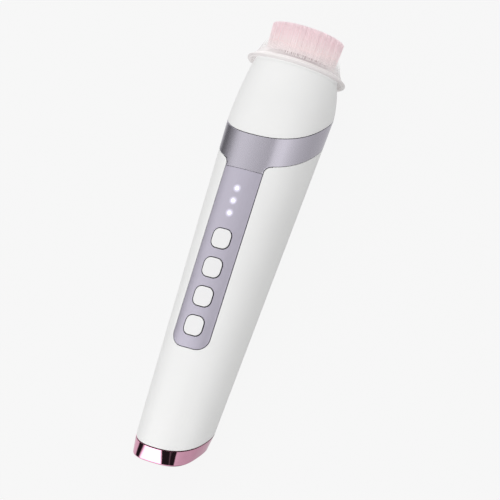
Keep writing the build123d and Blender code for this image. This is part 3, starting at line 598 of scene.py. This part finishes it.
def make_skirt():
    """The outline turned round the head's axis."""
    outline = skirt_outline()
    count = len(outline)
    verts, faces, heights = [], [], []
    for step in range(SKIRT_STEPS):
        turn = 2 * math.pi * step / SKIRT_STEPS
        for radius, z in outline:
            verts.append(at(radius * math.cos(turn), HEAD_OFFSET + radius * math.sin(turn), z))
            heights.append((z - RIM_Z) / (MOUTH_Z - RIM_Z))
    for step in range(SKIRT_STEPS):
        after = (step + 1) % SKIRT_STEPS
        for k in range(count):
            down = (k + 1) % count
            faces.append((step * count + k, after * count + k, after * count + down, step * count + down))
    mesh = bpy.data.meshes.new("splash_skirt_clear")
    mesh.from_pydata(verts, [], faces)
    attribute = mesh.attributes.new("height", "FLOAT", "POINT")
    attribute.data.foreach_set("value", heights)
    mesh.polygons.foreach_set("use_smooth", [True] * len(mesh.polygons))
    mesh.materials.append(materials["frosted_cup"])
    mesh.update()
    skirt = bpy.data.objects.new("splash_skirt_clear", mesh)
    bpy.context.scene.collection.objects.link(skirt)
    skirt.visible_shadow = False
    skirt.visible_diffuse = False
    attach(skirt, "handle")
    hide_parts("splash_skirt")


make_skirt()


# ---- stage and light ----

FLOOR_REACH = 3.0
FLOOR_DROP = 0.0001
FLOOR_GLOW = 0.90
FLOOR_DARKER = (0.028, 0.028, 0.028)
FLOOR_LIGHTER = (0.030, 0.030, 0.030)


def make_floor():
    """Plain pale floor just under the object."""
    mesh = bpy.data.meshes.new("floor")
    corners = [(x * FLOOR_REACH, y * FLOOR_REACH, 0) for x, y in ((-1, -1), (1, -1), (1, 1), (-1, 1))]
    mesh.from_pydata(corners, [], [(0, 1, 2, 3)])
    material, tree, shader = new_material("floor_white")
    clouds = noise(tree, 3.0, 2.0)
    tree.links.new(ramp(tree, clouds, FLOOR_DARKER, FLOOR_LIGHTER), shader.inputs["Base Color"])
    shader.inputs["Roughness"].default_value = 1.0
    shader.inputs["Specular IOR Level"].default_value = 0.0
    shader.inputs["Emission Color"].default_value = (1.0, 1.0, 1.0, 1.0)
    shader.inputs["Emission Strength"].default_value = FLOOR_GLOW
    mesh.materials.append(material)
    floor = bpy.data.objects.new("floor", mesh)
    floor.location.z = -FLOOR_DROP
    floor.visible_diffuse = False
    floor.visible_glossy = False
    bpy.context.scene.collection.objects.link(floor)


BACKDROP_RADIUS = 2.8


def make_backdrop():
    """Plain dome that only the camera sees, so that low views keep the floor's tone behind the object."""
    mesh = bpy.data.meshes.new("backdrop")
    shape = bmesh.new()
    bmesh.ops.create_icosphere(shape, subdivisions=4, radius=BACKDROP_RADIUS)
    shape.to_mesh(mesh)
    shape.free()
    mesh.materials.append(bpy.data.materials["floor_white"])
    backdrop = bpy.data.objects.new("backdrop", mesh)
    for ray in ("visible_diffuse", "visible_glossy", "visible_transmission", "visible_shadow"):
        setattr(backdrop, ray, False)
    bpy.context.scene.collection.objects.link(backdrop)


# Directions square to the handle: towards the first camera place, and to its right.
level_back = (view_back - along * view_back.dot(along)).normalized()
level_right = along.cross(level_back)


def view_azimuth(tree, direction):
    """Angle round the handle's axis from level_back, positive towards level_right, as a share of a turn."""
    parts = []
    for axis in (level_right, level_back):
        dot = add_node(tree, "ShaderNodeVectorMath", operation="DOT_PRODUCT")
        dot.inputs[1].default_value = axis
        tree.links.new(direction, dot.inputs[0])
        parts.append(dot.outputs["Value"])
    angle = add_node(tree, "ShaderNodeMath", operation="ARCTAN2")
    tree.links.new(parts[0], angle.inputs[0])
    tree.links.new(parts[1], angle.inputs[1])
    share = add_node(tree, "ShaderNodeMapRange")
    share.inputs["From Min"].default_value = -math.pi
    share.inputs["From Max"].default_value = math.pi
    tree.links.new(angle.outputs["Value"], share.inputs["Value"])
    return share.outputs["Result"]


def level_ramp(tree, source, stops, top):
    """Brightness by angle: stops are (degrees, level) pairs, and top is the level that white stands for."""
    node = add_node(tree, "ShaderNodeValToRGB")
    elements = node.color_ramp.elements
    while len(elements) < len(stops):
        elements.new(0.5)
    for element, (degrees, level) in zip(elements, stops):
        element.position = (degrees + 180.0) / 360.0
        element.color = (level / top, level / top, level / top, 1.0)
    tree.links.new(source, node.inputs["Fac"])
    scale = add_node(tree, "ShaderNodeMath", operation="MULTIPLY")
    scale.inputs[1].default_value = top
    tree.links.new(node.outputs["Color"], scale.inputs[0])
    return scale.outputs["Value"]


# Brightness round the handle's axis as (degrees from the camera's side, level) pairs: level with the
# handle's sides, along its ends, and on the reflector card.
SIDE_LEVELS = ((-180, 0.8), (-150, 0.55), (-134, 0.18), (-120, 0.15), (-94, 0.38), (-74, 0.83),
               (-60, 0.96), (-50, 0.84), (-40, 0.70), (-20, 0.60), (-8, 0.54), (0, 1.00),
               (25, 1.1), (50, 0.86), (80, 0.68), (120, 0.55), (180, 0.7))
STEEP_LEVELS = ((-180, 0.98), (-130, 1.32), (-90, 1.23), (-60, 1.18), (-30, 1.20), (0, 1.08),
                (30, 0.80), (60, 0.48), (90, 0.24), (130, 0.34), (180, 0.86))
CARD_LEVELS = ((-180, 0.95), (-108, 0.95), (-102, 0.02), (-84, 0.02), (-78, 1.1), (-71, 3.0),
               (-37, 3.0), (-33, 0.02), (-8, 0.02), (-4, 0.16), (0, 0.02), (18, 0.02),
               (22, 0.92), (60, 0.78), (180, 0.6))
LEVEL_TOP = 3.0
STEEP_START = 0.30
STEEP_END = 0.50
FOOT_LIFT = 0.85
HEAD_LIFT = 1.25


def make_lights():
    """Light by direction round the handle, blended into another run for directions nearer its ends."""
    world = bpy.data.worlds.new("studio")
    bpy.context.scene.world = world
    world.use_nodes = True
    tree = world.node_tree
    background = tree.nodes["Background"]
    background.inputs["Color"].default_value = (1.0, 1.0, 1.0, 1.0)
    place = add_node(tree, "ShaderNodeTexCoord")
    direction = place.outputs["Generated"]
    azimuth = view_azimuth(tree, direction)
    side = level_ramp(tree, azimuth, SIDE_LEVELS, LEVEL_TOP)
    overhead = level_ramp(tree, azimuth, STEEP_LEVELS, LEVEL_TOP)
    rise = add_node(tree, "ShaderNodeVectorMath", operation="DOT_PRODUCT")
    rise.inputs[1].default_value = along
    tree.links.new(direction, rise.inputs[0])
    steep = add_node(tree, "ShaderNodeMath", operation="ABSOLUTE")
    tree.links.new(rise.outputs["Value"], steep.inputs[0])
    share = add_node(tree, "ShaderNodeMapRange", interpolation_type="SMOOTHSTEP")
    share.inputs["From Min"].default_value = STEEP_START
    share.inputs["From Max"].default_value = STEEP_END
    tree.links.new(steep.outputs["Value"], share.inputs["Value"])
    mix = add_node(tree, "ShaderNodeMix", data_type="FLOAT")
    tree.links.new(share.outputs["Result"], mix.inputs["Factor"])
    tree.links.new(side, mix.inputs["A"])
    tree.links.new(overhead, mix.inputs["B"])
    lift = add_node(tree, "ShaderNodeMapRange", clamp=False)
    lift.inputs["From Min"].default_value = -1.0
    lift.inputs["From Max"].default_value = 1.0
    lift.inputs["To Min"].default_value = FOOT_LIFT
    lift.inputs["To Max"].default_value = HEAD_LIFT
    tree.links.new(rise.outputs["Value"], lift.inputs["Value"])
    total = add_node(tree, "ShaderNodeMath", operation="MULTIPLY")
    tree.links.new(mix.outputs["Result"], total.inputs[0])
    tree.links.new(lift.outputs["Result"], total.inputs[1])
    tree.links.new(total.outputs["Value"], background.inputs["Strength"])


CARD_RADIUS = 0.22
CARD_LOW = -200.0
CARD_HIGH = -86.0
CARD_STEPS = 180


def make_card():
    """Ring round the foot, seen only in its plated cap: bright, dark and grey bands side by side."""
    verts, faces = [], []
    for step in range(CARD_STEPS):
        turn = 2 * math.pi * step / CARD_STEPS
        out = level_right * math.sin(turn) + level_back * math.cos(turn)
        for height in (CARD_LOW, CARD_HIGH):
            verts.append(at(0, 0, height) + out * CARD_RADIUS)
    for step in range(CARD_STEPS):
        after = (step + 1) % CARD_STEPS
        faces.append((2 * step, 2 * after, 2 * after + 1, 2 * step + 1))
    mesh = bpy.data.meshes.new("reflector_card")
    mesh.from_pydata(verts, [], faces)
    material, tree, shader = new_material("reflector_card")
    place = add_node(tree, "ShaderNodeNewGeometry")
    centred = add_node(tree, "ShaderNodeVectorMath", operation="SUBTRACT")
    centred.inputs[1].default_value = at(0, 0, 0)
    tree.links.new(place.outputs["Position"], centred.inputs[0])
    level = level_ramp(tree, view_azimuth(tree, centred.outputs["Vector"]), CARD_LEVELS, LEVEL_TOP)
    shader.inputs["Base Color"].default_value = (0.0, 0.0, 0.0, 1.0)
    shader.inputs["Specular IOR Level"].default_value = 0.0
    shader.inputs["Emission Color"].default_value = (1.0, 1.0, 1.0, 1.0)
    tree.links.new(level, shader.inputs["Emission Strength"])
    mesh.materials.append(material)
    card = bpy.data.objects.new("reflector_card", mesh)
    card.visible_camera = False
    card.visible_diffuse = False
    card.visible_shadow = False
    bpy.context.scene.collection.objects.link(card)


make_card()
make_floor()
make_backdrop()
make_lights()
bpy.context.scene.view_settings.view_transform = "Standard"
